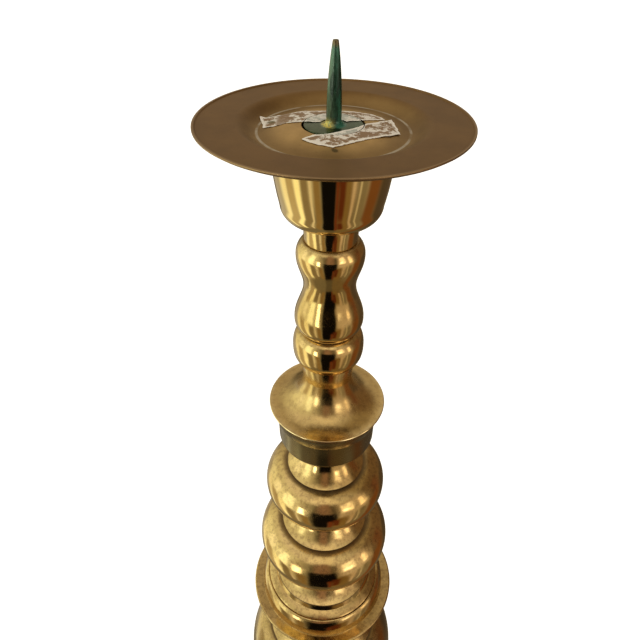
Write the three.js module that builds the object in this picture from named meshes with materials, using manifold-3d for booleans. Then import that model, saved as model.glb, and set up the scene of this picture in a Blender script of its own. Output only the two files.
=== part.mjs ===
// Pricket candlestick: a tall floor stick of hollow turned brass castings, stacked on one tie rod.
// Millimetres, +Z up. The origin is on the floor, on the axis of the stem.
// Every section has an open mouth below and a plate with a spigot on top, which centres the next one.
// The pricket screws into a post in the cup, and the drip pan hangs loose on the cup's rim.
import * as THREE from 'three';
import { mergeVertices } from 'three/addons/utils/BufferGeometryUtils.js';
import Module from 'manifold-3d';

const wasm = await Module();
wasm.setup();

// Walls, fits and the tie rod.
const seat_gap = 0.3;            // clearance between two pieces that bear on each other
const wall = 4;                  // side wall of a hollow casting
const web = 5;                   // plate on top of a casting
const spigot_height = 4;         // boss that enters the mouth of the section above
const rod_radius = 5;
const rod_clearance = 0.5;
const facets = 20;               // sides of a turned stem section
const small_facets = 16;         // sides of a small turned piece

// Foot, from the floor up.
const pad_radius = 5;
const pad_height = 3;
const pad_count = 3;
const foot_radius = 168;
const foot_height = 43;
const foot_edge = 11;            // height of the foot's upright edge
const foot_step = 7;             // width of the ledge above that edge
const foot_hole = 100;           // radius of the hole in the foot's top plate
const dome_foot_radius = 134;    // joint of the foot and the dome
const dome_height = 90;
const dome_neck_radius = 74;     // joint of the dome and the base neck
const base_neck_height = 68;
const base_neck_waist = 60;

// Stem, from the base neck up: the radius of each joint, and the height of each section.
const lower_knop_seat = 76;
const lower_knop_height = 170;
const lower_knop_radius = 110.3;
const shaft_neck_foot = 78;
const shaft_neck_height = 114;
const shaft_neck_top = 46;
const flange_radius = 95.5;      // wide flange at the foot of the stepped knop
const flange_edge = 4;
const bulge_radius = 83;
const bulge_height = 25.7;
const band_radius = 73.7;        // lower edge of the slanting band
const band_height = 12.5;
const band_shoulder_radius = 64.5;
const band_shoulder_rise = 5.3;
const stepped_wall_foot = 10.7;  // height at which the stepped knop's cavity reaches its side
const stepped_floor_radius = 56; // flat floor of the cavity inside the stepped knop
const lower_neck_foot = 62.2;
const lower_neck_height = 50.4;
const lower_neck_top = 37;
const middle_knop_seat = 50;
const middle_knop_height = 66.2;
const middle_knop_radius = 79.5;
const middle_neck_foot = 51.8;
const middle_neck_height = 47.2;
const middle_neck_top = 30;
const upper_knop_seat = 40;
const upper_knop_height = 59.6;
const upper_knop_radius = 67.7;
const upper_neck_foot = 42.7;
const upper_neck_height = 46.8;
const upper_neck_top = 24.5;
const dome_flare_power = 1.7;    // how late the dome and the necks widen towards their feet
const neck_flare_power = 3.6;
const bell_slope = 0.6;          // slope of a neck's cavity between its mouth and its bore
const collar_foot_radius = 45;   // stepped collar under the disc
const collar_lower_radius = 50;
const collar_step_radius = 51.7;
const collar_lower_height = 33;
const collar_round = 6;
const collar_step_depth = 1;     // height of the slanting step between the collar's two parts
const collar_upper_height = 15;
const disc_seat = 56.5;          // joint of the stepped collar and the disc
const disc_radius = 58.6;
const disc_edge = 5;
const disc_flare_height = 39.4;
const disc_neck_radius = 24.5;
const disc_neck_height = 16;
const ball_seat = 24;            // joint of the ball knop and the disc's neck
const ball_radius = 33.2;
const ball_shoulder = 22;
const ball_height = 37;
const ball_square = 2.4;         // 2 is an ellipse, and a larger value a squarer bead
const ball_hollow_angle = 60;    // end of the ball's round cavity, in degrees on its section
const groove_radius = 25;        // joint of the ball knop and the vase knop
const vase_heights = [0, 14, 49, 79, 93];
const vase_radii = [groove_radius, 31.3, 23, 29.2, 23.5];
const ring_radius = 22.5;        // plain ring under the cup
const ring_height = 19;

// Cup and the post inside it.
const cup_floor_radius = 25;
const cup_corner_width = 16;
const cup_corner_height = 14;
const cup_rim_radius = 47;
const cup_height = 68.1;
const cup_wall = 3;
const cup_floor = 4;
const post_radius = 12;
const post_foot_radius = 18;
const post_foot_height = 5;
const rod_engagement = 25;       // length of rod inside the post
const bore_end_room = 2;         // depth left past a rod or stud in its hole

// Drip pan.
const pan_radius = 100;
const pan_wall = 2.2;
const pan_facets = 36;
const lip_width = 2;
const lip_height = 0.8;
const rim_inner_radius = 69;
const well_radius = 55.4;
const well_depth = 7.5;
const pan_hole_depth = 3.2;      // the well's floor rises towards its hole
const pan_hole_gap = 1.6;        // play of the pan round the pricket's flange

// Pricket.
const pricket_flange_radius = 21.6;
const pricket_flange = 3;
const spike_height = 55.5;
const spike_root_radius = 5.6;
const spike_tip_radius = 2;
const spike_power = 2.3;
const spike_fillet = 4.5;
const stud_radius = 4;
const stud_length = 18;
const pricket_washer_radius = 14;
const pricket_washer_height = 1.8;

// Clamp under the base.
const bar_length = 236;
const bar_width = 40;
const bar_height = 6;
const nut_washer_radius = 15;
const nut_washer_height = 2;
const nut_radius = 9.8;
const nut_height = 8;
const nut_sides = 6;
const rod_end = 4;               // rod that shows below the nut

// Torn strips of tape, as outlines seen from above, with the front at -Y.
const tape_height = 0.4;
const tape_split = 0.8;          // half of the tear along the edge of the pan's hole
const tape_spike_gap = 0.8;
const tape_back = [[-55.7, 28.4], [-44.7, 25.4], [-34.4, 27.6], [-26, 31.3], [-15.6, 34.3], [1, 36],
  [19.5, 34.2], [31.8, 34.1], [36.3, 23.3], [38.6, 19.4], [21.9, 9.6], [6.1, 9.4], [-6.4, 7.8],
  [-14.6, 4.5], [-33.7, 5.2], [-50.5, 1.2]];
const tape_front = [[-21.6, -22], [-12.3, -19.3], [-1.3, -13.8], [11.6, -7.6], [22, 1.7], [45, 22.8],
  [48.8, -7.9], [34.6, -16.3], [17.6, -25.6], [9.7, -31.5], [-1, -38], [-16.5, -31.5]];

// Heights of the joints, added up from the floor.
const foot_base = pad_height + seat_gap;
const dome_base = foot_base + foot_height + seat_gap;
const base_neck_base = dome_base + dome_height + seat_gap;
const lower_knop_base = base_neck_base + base_neck_height + seat_gap;
const shaft_neck_base = lower_knop_base + lower_knop_height + seat_gap;
const stepped_knop_base = shaft_neck_base + shaft_neck_height + seat_gap;
const stepped_knop_height = flange_edge + bulge_height + band_height;
const lower_neck_base = stepped_knop_base + stepped_knop_height + seat_gap;
const middle_knop_base = lower_neck_base + lower_neck_height + seat_gap;
const middle_neck_base = middle_knop_base + middle_knop_height + seat_gap;
const upper_knop_base = middle_neck_base + middle_neck_height + seat_gap;
const upper_neck_base = upper_knop_base + upper_knop_height + seat_gap;
const collar_base = upper_neck_base + upper_neck_height + seat_gap;
const collar_height = collar_lower_height + collar_upper_height;
const disc_base = collar_base + collar_height + seat_gap;
const disc_height = disc_edge + disc_flare_height + disc_neck_height;
const ball_base = disc_base + disc_height + seat_gap;
const vase_base = ball_base + ball_height + seat_gap;
const vase_height = vase_heights[vase_heights.length - 1];
const ring_base = vase_base + vase_height + seat_gap;
const cup_base = ring_base + ring_height + seat_gap;
const cup_top = cup_base + cup_height;

// The pan rests on the cup's rim, so its rim plane follows from the slope of its floor there.
const pan_hole_radius = pricket_flange_radius + pan_hole_gap;
const floor_rise = (well_depth - pan_hole_depth) / (well_radius - pan_hole_radius);
const pan_plane = cup_top + seat_gap + pan_wall + well_depth - floor_rise * (well_radius - cup_rim_radius);
const pricket_base = pan_plane - pan_hole_depth - pricket_flange;
const pricket_washer_base = pricket_base - seat_gap - pricket_washer_height;
const post_base = cup_base + cup_floor + seat_gap;
const post_height = pricket_washer_base - seat_gap - post_base;
const bar_base = foot_base + foot_height - web - seat_gap - bar_height;
const nut_washer_base = bar_base - seat_gap - nut_washer_height;
const nut_base = nut_washer_base - seat_gap - nut_height;
const rod_base = nut_base - rod_end;
const rod_top = post_base + rod_engagement;
const rod_bore = rod_radius + rod_clearance;

// Finishes.
const brass = new THREE.MeshStandardMaterial({ color: 0xb08a45, roughness: 0.22, metalness: 1 });
const pan_brass = new THREE.MeshStandardMaterial({ color: 0x7d5b36, roughness: 0.5, metalness: 0.9 });
const verdigris = new THREE.MeshStandardMaterial({ color: 0x3f6a4c, roughness: 0.6, metalness: 0.4 });
const steel = new THREE.MeshStandardMaterial({ color: 0x8c8f92, roughness: 0.4, metalness: 1 });
const paper = new THREE.MeshStandardMaterial({ color: 0xd9cdbd, roughness: 0.9, metalness: 0 });
const felt = new THREE.MeshStandardMaterial({ color: 0x3a4a38, roughness: 1, metalness: 0 });

const candlestick = new THREE.Group();

// Adds one named piece at its height on the axis.
function place(name, geometry, material, height = 0) {
  const mesh = new THREE.Mesh(geometry, material);
  mesh.name = name;
  mesh.position.z = height;
  candlestick.add(mesh);
  return mesh;
}

// Turns a profile of [radius, height] points about +Z. A ring's profile closes on itself.
function turn(profile, sides = facets) {
  const closed = profile[0][0] > 0 ? [...profile, profile[0]] : profile;
  const points = closed.map(([r, z]) => new THREE.Vector2(r, z));
  return new THREE.LatheGeometry(points, sides).rotateX(Math.PI / 2);
}

// A hollow casting: its outside from the bottom up, and its cavity from the top down.
function casting(outside, cavity, height, mouth_radius, spigot, hole = rod_bore) {
  const boss = [[spigot, height], [spigot, height + spigot_height], [hole, height + spigot_height]];
  return turn([...outside, ...boss, [hole, height - web], ...cavity, [mouth_radius - wall, 0]]);
}

// Radius of a spigot that enters a straight mouth, given the radius of the joint.
function spigot_in_mouth(joint_radius) {
  return joint_radius - wall - seat_gap;
}

// Radius of a spigot that enters a section whose side may narrow from its foot.
function spigot_in_side(side) {
  const i = side.findIndex(([, z]) => z >= spigot_height);
  const [[foot, low], [top, high]] = [side[i - 1], side[i]];
  const above = foot + ((top - foot) * (spigot_height - low)) / (high - low);
  return spigot_in_mouth(Math.min(side[0][0], above));
}

// Points along a squared ellipse, from one angle to another in degrees.
function bead(radius, z, width, height, from, to, steps, square = 2) {
  return Array.from({ length: steps + 1 }, (_, i) => {
    const angle = THREE.MathUtils.degToRad(from + ((to - from) * i) / steps);
    const across = Math.abs(Math.cos(angle)) ** (2 / square);
    const up = Math.sign(Math.sin(angle)) * Math.abs(Math.sin(angle)) ** (2 / square);
    return [radius + width * across, z + height * up];
  });
}

// Points along a concave neck, from its wide foot up to its narrow top.
function neck_side(foot, top, height, power = neck_flare_power, steps = 5) {
  return Array.from({ length: steps + 1 }, (_, i) => {
    const z = height * (i / steps) ** (power / 2);
    return [top + (foot - top) * (1 - z / height) ** power, z];
  });
}

// Points along a wavy side that turns upright at every given height.
function wave_side(heights, radii, steps = 3) {
  const points = [[radii[0], heights[0]]];
  for (let i = 1; i < heights.length; i += 1) {
    for (let k = 1; k <= steps; k += 1) {
      const blend = (1 - Math.cos((Math.PI * k) / steps)) / 2;
      const z = heights[i - 1] + ((heights[i] - heights[i - 1]) * k) / steps;
      points.push([radii[i - 1] + (radii[i] - radii[i - 1]) * blend, z]);
    }
  }
  return points;
}

// A casting whose cavity follows its side, up to the plate on top.
function shell(side, spigot) {
  const [mouth_radius] = side[0];
  const [top_radius, height] = side[side.length - 1];
  const inside = side.filter(([, z]) => z > 0 && z < height - web).map(([r, z]) => [r - wall, z]);
  const ceiling = [top_radius - wall, height - web];
  return casting(side, [ceiling, ...inside.reverse()], height, mouth_radius, spigot);
}

// A neck: a bell with a straight bore and a wider mouth for the spigot below.
function bell(side, spigot) {
  const [top_radius, height] = side[side.length - 1];
  const bore = top_radius - wall;
  const mouth = spigot_in_side(side) + seat_gap;
  const mouth_top = spigot_height + seat_gap;
  const cavity = [[bore, height - web], [bore, mouth_top + bell_slope * (mouth - bore)], [mouth, mouth_top]];
  return casting(side, cavity, height, mouth + wall, spigot);
}

// A ring knop: one big bead on the neck below, with the cavity parallel to it.
function knop(radius, seat, height, neck_radius, spigot) {
  const half = height / 2;
  const outside = bead(seat, half, radius - seat, half, -90, 90, 8);
  const cavity = bead(seat, half, radius - seat - wall, half - web, 90, -90, 6);
  return casting(outside, [...cavity, [neck_radius - wall, web]], height, neck_radius, spigot);
}

// Sides of the sections that the one below enters with its spigot.
const dome_side = neck_side(dome_foot_radius, dome_neck_radius, dome_height, dome_flare_power);
const base_neck_side = wave_side([0, base_neck_height / 2, base_neck_height],
  [dome_neck_radius, base_neck_waist, lower_knop_seat]);
const shaft_neck_side = neck_side(shaft_neck_foot, shaft_neck_top, shaft_neck_height);
const lower_neck_side = neck_side(lower_neck_foot, lower_neck_top, lower_neck_height);
const middle_neck_side = neck_side(middle_neck_foot, middle_neck_top, middle_neck_height);
const upper_neck_side = neck_side(upper_neck_foot, upper_neck_top, upper_neck_height);
const vase_side = wave_side(vase_heights, vase_radii);

// Foot ring with its upright edge and ledge. Its top plate has a wide hole, and the clamp bar bears on it.
function base_foot() {
  const ledge = foot_radius - foot_step;
  const rise = foot_height - foot_edge;
  const ogee = bead(dome_foot_radius, foot_edge, ledge - dome_foot_radius, rise, 0, 90, 3);
  const outside = [[foot_radius, 0], [foot_radius, foot_edge], ...ogee];
  const inner_rise = rise - web;
  const hollow = bead(dome_foot_radius, foot_edge, ledge - dome_foot_radius - wall, inner_rise, 90, 0, 3);
  return casting(outside, hollow, foot_height, ledge, spigot_in_side(dome_side), foot_hole);
}

// Stepped knop: flange, bulge and slanting band.
function stepped_knop() {
  const band_base = flange_edge + bulge_height;
  const bulge = bead(band_radius, flange_edge, bulge_radius - band_radius, bulge_height, 0, 90, 5);
  const outside = [[flange_radius, 0], [flange_radius, flange_edge], ...bulge,
    [band_shoulder_radius, band_base + band_shoulder_rise], [lower_neck_foot, stepped_knop_height]];
  const cavity = [[lower_neck_foot - wall, stepped_knop_height - web], [band_radius - wall, band_base - web],
    [band_radius - wall, flange_edge + stepped_wall_foot], [stepped_floor_radius, flange_edge],
    [shaft_neck_top - wall, flange_edge]];
  return casting(outside, cavity, stepped_knop_height, shaft_neck_top, spigot_in_side(lower_neck_side));
}

// Stepped collar under the disc.
function stepped_collar() {
  const outside = [
    ...bead(collar_foot_radius, collar_round, collar_lower_radius - collar_foot_radius, collar_round, -90, 0, 3),
    [collar_lower_radius, collar_lower_height - collar_step_depth], [collar_step_radius, collar_lower_height],
    [disc_seat, collar_height]];
  const cavity = [[collar_lower_radius - wall, collar_height - web], [collar_lower_radius - wall, collar_round],
    [upper_neck_top - wall, web]];
  return casting(outside, cavity, collar_height, upper_neck_top, spigot_in_mouth(disc_seat));
}

// Wide disc that flares out of a plain neck.
function flared_disc() {
  const steps = 6;
  const flare = Array.from({ length: steps + 1 }, (_, i) => {
    const t = i / steps;
    const z = disc_edge + disc_flare_height * t * t;
    return [disc_radius + (disc_neck_radius - disc_radius) * (1 - (1 - t) ** 2), z];
  });
  const outside = [[disc_seat, 0], ...flare, [disc_neck_radius, disc_height]];
  const top = disc_height - web;
  const cavity = [[disc_neck_radius - wall, top], [disc_neck_radius - wall, disc_edge + disc_flare_height / 2],
    [disc_neck_radius + wall, spigot_height + seat_gap], [disc_seat - wall, spigot_height + seat_gap]];
  return casting(outside, cavity, disc_height, disc_seat, spigot_in_mouth(ball_seat));
}

// Ball knop between the disc's neck and the vase.
function ball_knop() {
  const half = ball_height / 2;
  const outside = bead(ball_shoulder, half, ball_radius - ball_shoulder, half, -90, 90, 6, ball_square);
  const cavity = bead(ball_shoulder - wall, half, ball_radius - ball_shoulder, half - web,
    ball_hollow_angle, -ball_hollow_angle, 4);
  const ceiling = [[ball_shoulder - wall, ball_height - web]];
  const lip = [ball_seat - wall, web];
  return casting(outside, [...ceiling, ...cavity, lip], ball_height, ball_seat, spigot_in_side(vase_side));
}

// Plain ring between the vase knop and the cup.
function cup_ring() {
  const mouth = ring_radius - wall;
  return turn([[ring_radius, 0], [ring_radius, ring_height], [rod_bore, ring_height],
    [rod_bore, ring_height - web], [mouth, ring_height - web], [mouth, 0]]);
}

// One skin of the cup: round corner, then a side that straightens towards the rim.
function cup_skin(inset, floor_z, corner_steps, side_steps) {
  const corner = bead(cup_floor_radius, cup_corner_height, cup_corner_width - inset,
    cup_corner_height - floor_z, -90, 0, corner_steps);
  const side_foot = cup_floor_radius + cup_corner_width;
  const rise = cup_height - cup_corner_height;
  const side = Array.from({ length: side_steps }, (_, i) => {
    const t = (i + 1) / side_steps;
    return [side_foot - inset + (cup_rim_radius - side_foot) * (1 - (1 - t) ** 2), cup_corner_height + rise * t];
  });
  return [...corner, ...side];
}

// Open cup that carries the pan on its rim.
function cup_bowl() {
  const inside = cup_skin(cup_wall, cup_floor, 3, 2).reverse();
  return turn([[rod_bore, 0], ...cup_skin(0, 0, 3, 3), ...inside, [rod_bore, cup_floor]]);
}

// Post in the cup: it screws onto the rod below and takes the pricket's stud above.
function cup_post() {
  const rod_hole = rod_radius + seat_gap;
  const stud_hole = stud_radius + seat_gap;
  const stud_depth = stud_length - pricket_washer_height - 2 * seat_gap + bore_end_room;
  return turn([[0, rod_engagement + bore_end_room], [rod_hole, rod_engagement + bore_end_room], [rod_hole, 0],
    [post_foot_radius, 0], [post_foot_radius, post_foot_height], [post_radius, post_foot_height],
    [post_radius, post_height], [stud_hole, post_height], [stud_hole, post_height - stud_depth],
    [0, post_height - stud_depth]], small_facets);
}

// Drip pan: lip, wide flat rim, slope, and a well whose floor rises to the hole.
function drip_pan() {
  const under = [[pan_hole_radius, -pan_hole_depth], [well_radius, -well_depth], [rim_inner_radius, 0]];
  const lip = pan_radius - lip_width;
  return turn([...under.map(([r, z]) => [r, z - pan_wall]), [pan_radius, -pan_wall], [pan_radius, lip_height],
    [lip, lip_height], [lip - lip_height, 0], ...under.reverse()], pan_facets);
}

// Pricket: threaded stud, round flange, and a spike that narrows to a blunt tip.
function pricket() {
  const fillet = bead(spike_root_radius + spike_fillet, pricket_flange + spike_fillet,
    -spike_fillet, spike_fillet, -90, 0, 3);
  const steps = 6;
  const shank = Array.from({ length: steps }, (_, i) => {
    const t = (i + 1) / steps;
    const z = spike_fillet + (spike_height - spike_fillet) * t;
    return [spike_root_radius - (spike_root_radius - spike_tip_radius) * t ** spike_power, pricket_flange + z];
  });
  return turn([[0, -stud_length], [stud_radius, -stud_length], [stud_radius, 0], [pricket_flange_radius, 0],
    [pricket_flange_radius, pricket_flange], ...fillet, ...shank,
    [0, pricket_flange + spike_height]], small_facets);
}

// Plain round washer.
function washer(hole, radius, height) {
  return turn([[hole, 0], [radius, 0], [radius, height], [hole, height]], small_facets);
}

// A closed geometry as a solid for cutting, and back.
function solid(geometry) {
  const bare = geometry.clone();
  bare.deleteAttribute('normal');
  bare.deleteAttribute('uv');
  const merged = mergeVertices(bare, 1e-4);
  const corners = Array.from(merged.index.array);
  const whole = (_, i) => {
    const [a, b, c] = corners.slice(3 * i, 3 * i + 3);
    return a !== b && b !== c && c !== a;
  };
  const triangles = Array.from({ length: corners.length / 3 }, (_, i) => corners.slice(3 * i, 3 * i + 3));
  return new wasm.Manifold(new wasm.Mesh({
    numProp: 3,
    vertProperties: new Float32Array(merged.attributes.position.array),
    triVerts: new Uint32Array(triangles.filter(whole).flat()),
  }));
}

function geometry_of(shape) {
  const mesh = shape.getMesh();
  const geometry = new THREE.BufferGeometry();
  geometry.setAttribute('position', new THREE.BufferAttribute(new Float32Array(mesh.vertProperties), 3));
  geometry.setIndex(new THREE.BufferAttribute(new Uint32Array(mesh.triVerts), 1));
  return geometry;
}

// A tape strip is its outline cut out of a thin skin that lies just above the pan or the flange.
function tape(outline, skin) {
  const shape = new THREE.Shape(outline.map(([x, y]) => new THREE.Vector2(x, y)));
  const height = 2 * well_depth;
  const prism = new THREE.ExtrudeGeometry(shape, { depth: height, bevelEnabled: false });
  prism.translate(0, 0, pan_plane - height);
  return geometry_of(solid(prism).intersect(solid(skin)));
}

// Skin over the pan's floor, from the hole's edge to the well's corner.
function pan_skin() {
  const bottom = [[pan_hole_radius + tape_split, pan_plane - pan_hole_depth + seat_gap],
    [well_radius - seat_gap, pan_plane - well_depth + seat_gap]];
  const top = bottom.map(([r, z]) => [r, z + tape_height]).reverse();
  return turn([...bottom, ...top], pan_facets);
}

// Skin over the pricket's flange, from the spike's fillet to the flange's edge.
function flange_skin() {
  const z = pricket_base + pricket_flange + seat_gap;
  const inner = spike_root_radius + spike_fillet + tape_spike_gap;
  const outer = pricket_flange_radius - tape_split;
  return turn([[inner, z], [outer, z], [outer, z + tape_height], [inner, z + tape_height]], pan_facets);
}

// A flat plate of the given outline, with a round hole on the axis.
function drilled_plate(outline, hole_radius, height) {
  const shape = new THREE.Shape(outline.map(([x, y]) => new THREE.Vector2(x, y)));
  const hole = new THREE.Path();
  hole.absarc(0, 0, hole_radius, 0, 2 * Math.PI);
  shape.holes.push(hole);
  return new THREE.ExtrudeGeometry(shape, { depth: height, bevelEnabled: false, curveSegments: 8 });
}

// Clamp bar: a flat bar across the underside of the foot.
function clamp_bar() {
  const [x, y] = [bar_length / 2, bar_width / 2];
  return drilled_plate([[-x, -y], [x, -y], [x, y], [-x, y]], rod_bore, bar_height);
}

// Hexagonal nut on the rod's lower end.
function rod_nut() {
  const corners = Array.from({ length: nut_sides }, (_, i) => {
    const angle = (2 * Math.PI * i) / nut_sides;
    return [nut_radius * Math.cos(angle), nut_radius * Math.sin(angle)];
  });
  return drilled_plate(corners, rod_radius + seat_gap, nut_height);
}

// Base and stem, from the floor up.
const pad_ring = foot_radius - (foot_step + wall) / 2;
const pad_profile = [[0, 0], [pad_radius, 0], [pad_radius, pad_height], [0, pad_height]];
for (let i = 0; i < pad_count; i += 1) {
  const angle = (2 * Math.PI * (i + 0.25)) / pad_count;
  const pad = place(`floor_pad_${i + 1}`, turn(pad_profile, small_facets), felt);
  pad.position.set(pad_ring * Math.cos(angle), pad_ring * Math.sin(angle), 0);
}
place('base_foot', base_foot(), brass, foot_base);
place('base_dome', shell(dome_side, spigot_in_side(base_neck_side)), brass, dome_base);
place('base_neck', shell(base_neck_side, spigot_in_mouth(lower_knop_seat)), brass, base_neck_base);
place('lower_ring_knop', knop(lower_knop_radius, lower_knop_seat, lower_knop_height, lower_knop_seat,
  spigot_in_side(shaft_neck_side)), brass, lower_knop_base);
place('shaft_neck', bell(shaft_neck_side, spigot_in_mouth(shaft_neck_top)), brass, shaft_neck_base);
place('stepped_knop', stepped_knop(), brass, stepped_knop_base);
place('lower_neck', bell(lower_neck_side, spigot_in_mouth(lower_neck_top)), brass, lower_neck_base);
place('middle_ring_knop', knop(middle_knop_radius, middle_knop_seat, middle_knop_height, lower_neck_top,
  spigot_in_side(middle_neck_side)), brass, middle_knop_base);
place('middle_neck', bell(middle_neck_side, spigot_in_mouth(middle_neck_top)), brass, middle_neck_base);
place('upper_ring_knop', knop(upper_knop_radius, upper_knop_seat, upper_knop_height, middle_neck_top,
  spigot_in_side(upper_neck_side)), brass, upper_knop_base);
place('upper_neck', bell(upper_neck_side, spigot_in_mouth(upper_neck_top)), brass, upper_neck_base);
place('stepped_collar', stepped_collar(), brass, collar_base);
place('flared_disc', flared_disc(), brass, disc_base);
place('ball_knop', ball_knop(), brass, ball_base);
place('vase_knop', shell(vase_side, spigot_in_mouth(ring_radius)), brass, vase_base);
place('cup_ring', cup_ring(), brass, ring_base);

// Cup, pan and pricket.
place('cup_bowl', cup_bowl(), brass, cup_base);
place('cup_post', cup_post(), brass, post_base);
place('drip_pan', drip_pan(), pan_brass, pan_plane);
place('pricket_washer', washer(stud_radius + seat_gap, pricket_washer_radius, pricket_washer_height),
  steel, pricket_washer_base);
place('pricket', pricket(), verdigris, pricket_base);
place('tape_back_pan', tape(tape_back, pan_skin()), paper);
place('tape_back_flange', tape(tape_back, flange_skin()), paper);
place('tape_front_pan', tape(tape_front, pan_skin()), paper);
place('tape_front_flange', tape(tape_front, flange_skin()), paper);

// Tie rod and its clamp.
const rod = new THREE.CylinderGeometry(rod_radius, rod_radius, rod_top - rod_base, small_facets);
place('tie_rod', rod.rotateX(Math.PI / 2), steel, (rod_top + rod_base) / 2);
place('clamp_bar', clamp_bar(), steel, bar_base);
place('nut_washer', washer(rod_bore, nut_washer_radius, nut_washer_height), steel, nut_washer_base);
place('rod_nut', rod_nut(), steel, nut_base);

export default candlestick;
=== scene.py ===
import math

import bpy
from mathutils import Matrix, Vector, noise


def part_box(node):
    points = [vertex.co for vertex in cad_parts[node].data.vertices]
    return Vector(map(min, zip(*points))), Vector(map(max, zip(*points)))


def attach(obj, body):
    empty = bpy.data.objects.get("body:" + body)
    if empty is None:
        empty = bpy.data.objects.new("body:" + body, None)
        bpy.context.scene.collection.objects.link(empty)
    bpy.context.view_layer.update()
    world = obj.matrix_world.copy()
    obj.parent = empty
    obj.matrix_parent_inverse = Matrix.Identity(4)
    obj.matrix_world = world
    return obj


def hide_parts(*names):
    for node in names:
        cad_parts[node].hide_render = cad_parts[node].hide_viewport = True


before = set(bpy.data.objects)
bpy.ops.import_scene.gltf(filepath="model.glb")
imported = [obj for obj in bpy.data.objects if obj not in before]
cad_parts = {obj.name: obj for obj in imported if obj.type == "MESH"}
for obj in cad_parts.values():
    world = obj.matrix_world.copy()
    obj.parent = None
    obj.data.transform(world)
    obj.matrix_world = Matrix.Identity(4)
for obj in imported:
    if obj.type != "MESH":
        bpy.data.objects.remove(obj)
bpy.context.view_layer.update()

# Camera. It stands close to the stick, a hand's breadth above the pan and a forearm's length in front of
# the stem, and looks steeply down at it.
MM = 0.001
pan_lip = 0.8
pan_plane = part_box("drip_pan")[1].z / MM - pan_lip
eye_side, eye_back, eye_height = -1.8, 400.4, 137.8
eye_pitch, eye_yaw, eye_roll = (math.radians(a) for a in (38.62, -0.9, 0.7))
ahead = Vector((math.sin(eye_yaw) * math.cos(eye_pitch), math.cos(eye_yaw) * math.cos(eye_pitch),
                -math.sin(eye_pitch)))
level = Vector((math.cos(eye_yaw), -math.sin(eye_yaw), 0))
upright = level.cross(ahead)
right = math.cos(eye_roll) * level + math.sin(eye_roll) * upright
top = math.cos(eye_roll) * upright - math.sin(eye_roll) * level
eye = bpy.data.cameras.new("eye")
eye.lens, eye.sensor_width, eye.clip_start = 31.59, 36, 0.01
camera = bpy.data.objects.new("eye", eye)
bpy.context.scene.collection.objects.link(camera)
stand = Vector((eye_side, -eye_back, pan_plane + eye_height)) * MM
camera.matrix_world = Matrix.Translation(stand) @ Matrix((right, top, -ahead)).transposed().to_4x4()
bpy.context.scene.camera = camera
bpy.context.scene.view_settings.view_transform = "Standard"

# Felt pads. Three small discs of dark green felt are glued under the foot's rim, so that the brass
# doesn't scratch the floor.
SHARP, ON_AXIS, EASED_SHARE = math.radians(24), 1e-6, 0.45


def eased(profile, edge):
    """The closed profile with its sharp corners rounded to the given radius."""
    points = []
    for i, corner in enumerate(profile):
        corner = Vector(corner)
        back = Vector(profile[i - 1]) - corner
        on = Vector(profile[(i + 1) % len(profile)]) - corner
        bend = math.pi - back.angle(on)
        if bend < SHARP or corner.x < ON_AXIS:
            points.append(tuple(corner))
            continue
        reach = min(edge * math.tan(bend / 2), EASED_SHARE * back.length, EASED_SHARE * on.length)
        start, end = corner + back.normalized() * reach, corner + on.normalized() * reach
        for k in range(4):
            t = k / 3
            points.append(tuple(start * (1 - t) ** 2 + corner * 2 * t * (1 - t) + end * t ** 2))
    return points


def turned(name, profile, lift=0, edge=0.5, sides=128, at=(0, 0)):
    """A piece turned on the lathe: its profile of (radius, height) points in mm is drawn and spun about Z."""
    points = [Vector((r, 0, z + lift)) * MM for r, z in eased(profile, edge)]
    solid = profile[0][0] < ON_AXIS
    path = points if solid else points + points[:1]
    bpy.ops.object.select_all(action="DESELECT")
    bpy.ops.mesh.primitive_plane_add(size=MM, location=(0, 0, 0))
    piece = bpy.context.object
    piece.name = piece.data.name = name
    bpy.ops.object.mode_set(mode="EDIT")
    bpy.ops.mesh.select_all(action="SELECT")
    bpy.ops.mesh.merge(type="CENTER")
    bpy.ops.transform.translate(value=path[0])
    for before, after in zip(path, path[1:]):
        bpy.ops.mesh.extrude_vertices_move(TRANSFORM_OT_translate={"value": after - before})
    bpy.ops.mesh.select_all(action="SELECT")
    bpy.ops.mesh.spin(steps=sides, angle=2 * math.pi, center=(0, 0, 0), axis=(0, 0, 1))
    bpy.ops.mesh.select_all(action="SELECT")
    bpy.ops.mesh.remove_doubles(threshold=0.002 * MM)
    bpy.ops.mesh.normals_make_consistent(inside=False)
    bpy.ops.transform.translate(value=Vector((*at, 0)) * MM)
    bpy.ops.object.mode_set(mode="OBJECT")
    bpy.ops.object.shade_smooth_by_angle(angle=math.radians(40))
    return piece


class Wire:
    """One output of a node. Sums written with wires add the Math nodes that work them out."""

    def __init__(self, finish, socket):
        self.finish, self.socket = finish, socket

    def maths(self, operation, *others):
        return self.finish.node("ShaderNodeMath", {"operation": operation}, dict(enumerate((self, *others))))

    def __add__(self, other):
        return self.maths("ADD", other)

    def __sub__(self, other):
        return self.maths("SUBTRACT", other)

    def __rsub__(self, other):
        return self.finish.node("ShaderNodeMath", {"operation": "SUBTRACT"}, {0: other, 1: self})

    def __mul__(self, other):
        return self.maths("MULTIPLY", other)

    def __pow__(self, other):
        return self.maths("POWER", other)

    __radd__ = __add__
    __rmul__ = __mul__

    def above(self, level, soft):
        """0 below the level and 1 above it, with a soft step between."""
        return self.finish.node("ShaderNodeMapRange", {"interpolation_type": "SMOOTHSTEP"},
                                {"Value": self, "From Min": level - soft, "From Max": level + soft})


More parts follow.
